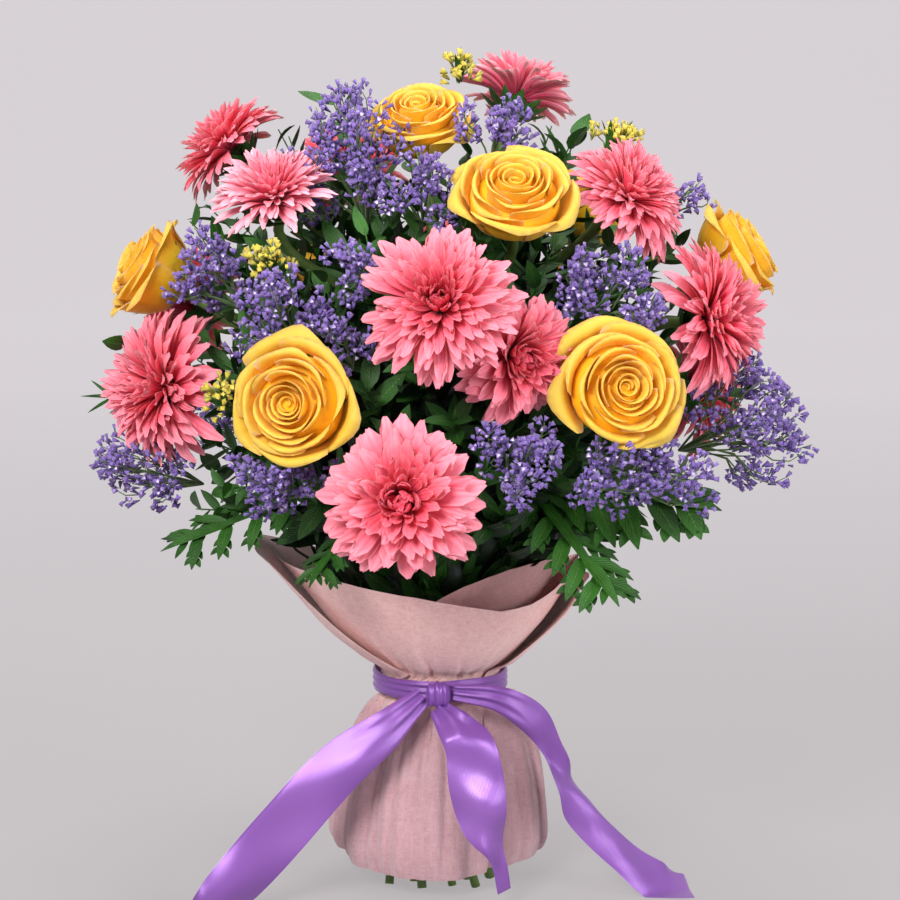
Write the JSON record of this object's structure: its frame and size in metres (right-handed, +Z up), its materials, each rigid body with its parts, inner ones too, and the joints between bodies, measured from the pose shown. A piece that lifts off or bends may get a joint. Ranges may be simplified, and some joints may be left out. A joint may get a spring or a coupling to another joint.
{
  "type": "hand-tied mixed flower bouquet",
  "caption": "Round hand-tied bouquet of chrysanthemums, roses and sea lavender in a flared felt wrap, tied with a satin ribbon, standing on its cut stems.",
  "frame": {"origin": "middle of the central stem's cut end, on the surface that the bouquet stands on", "axes": "+Z up along the stems, -Y towards the side that shows the ribbon's knot, +X to that side's right"},
  "size_m": [0.4321, 0.382, 0.5038],
  "materials": {
    "pink_petals": "soft matt petals, pale pink at the tips and coral red at their roots",
    "yellow_petals": "velvety petals, pale yellow outside and golden in the heart",
    "lavender_florets": "dry papery florets, violet with paler lilac mouths",
    "yellow_buds": "matt buds, yellow turning olive green at their base",
    "foliage": "waxy dark green leaves and lighter green stems",
    "string": "twisted natural twine",
    "felt": "dusty pink fibrous floral felt, matt",
    "satin_ribbon": "purple satin with a bright sheen"
  },
  "bodies": {
    "root": {"mum_left": "pink_petals", "mum_upper_left": "pink_petals", "mum_shoulder_left": "pink_petals", "mum_centre": "pink_petals", "mum_centre_low": "pink_petals", "mum_front_low": "pink_petals", "mum_upper_right": "pink_petals", "mum_right": "pink_petals", "mum_top": "pink_petals", "mum_back_left": "pink_petals", "mum_back_low": "pink_petals", "mum_back_centre": "pink_petals", "mum_back_upper": "pink_petals", "mum_back_right": "pink_petals", "rose_front_left": "yellow_petals", "rose_top_front": "yellow_petals", "rose_front_right": "yellow_petals", "rose_left": "yellow_petals", "rose_crown": "yellow_petals", "rose_right": "yellow_petals", "rose_back_upper": "yellow_petals", "rose_back_centre": "yellow_petals", "rose_back_left": "yellow_petals", "lavender_upper_left": "lavender_florets", "lavender_beside_crown": "lavender_florets", "lavender_over_centre": "lavender_florets", "lavender_left_high": "lavender_florets", "lavender_left_mid": "lavender_florets", "lavender_left_inner": "lavender_florets", "lavender_crown_right": "lavender_florets", "lavender_right_high": "lavender_florets", "lavender_far_right": "lavender_florets", "lavender_right_low": "lavender_florets", "lavender_front_low": "lavender_florets", "lavender_left_low": "lavender_florets", "lavender_far_left": "lavender_florets", "lavender_back_low": "lavender_florets", "lavender_back_left": "lavender_florets", "lavender_back_right": "lavender_florets", "lavender_right_top": "lavender_florets", "buds_left": "yellow_buds", "buds_low_left": "yellow_buds", "buds_right": "yellow_buds", "buds_crown": "yellow_buds", "leaf_right_rim": "foliage", "leaf_right_rim_outer": "foliage", "leaf_left_rim": "foliage", "leaf_front_rim": "foliage", "leaf_far_left": "foliage", "leaf_back_rim": "foliage", "leaf_back_left": "foliage", "stems_with_leaves": "foliage", "tie_string": "string", "felt_front": "felt", "felt_back": "felt", "ribbon_band": "satin_ribbon", "ribbon_knot": "satin_ribbon", "ribbon_tail_left": "satin_ribbon", "ribbon_tail_front": "satin_ribbon", "ribbon_tail_right": "satin_ribbon"}
  },
  "joints": []
}
